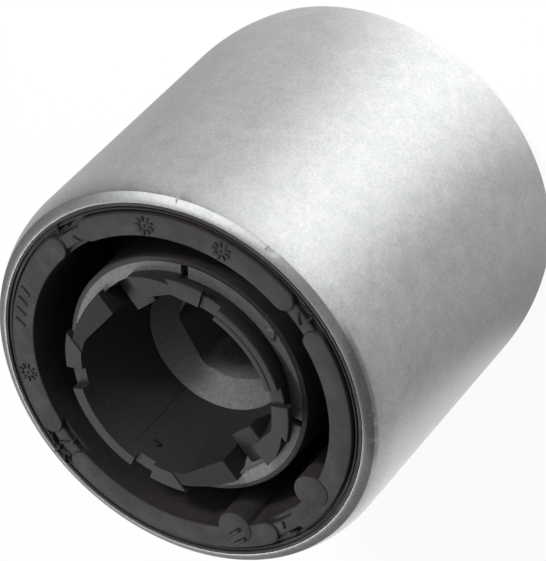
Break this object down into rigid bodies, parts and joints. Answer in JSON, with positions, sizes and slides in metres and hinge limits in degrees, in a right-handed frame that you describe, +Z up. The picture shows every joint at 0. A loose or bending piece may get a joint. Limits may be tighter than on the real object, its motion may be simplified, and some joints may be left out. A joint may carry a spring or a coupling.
{
  "type": "rubber metal bush",
  "caption": "Press-in rubber-metal bush: rolled outer sleeve, rubber spring with open ring pockets, cast core with hexagonal seat and snap-in mouth insert.",
  "frame": {"origin": "centre of the rear lip's plane, on the bore axis", "axes": "+Z up the bore axis from the rear end to the mouth; X through the two snap tongues of the mouth insert"},
  "size_m": [0.066, 0.066, 0.0639],
  "materials": {
    "sleeve_metal": "fine satin, drawn",
    "moulded_rubber": "matt, moulded",
    "coated_casting": "matt black coat on a casting",
    "black_plastic": "matt, glass-filled"
  },
  "bodies": {
    "root": {"outer_sleeve": "sleeve_metal", "rubber_body": "moulded_rubber", "inner_core": "coated_casting", "snap_insert": "black_plastic"}
  },
  "joints": []
}
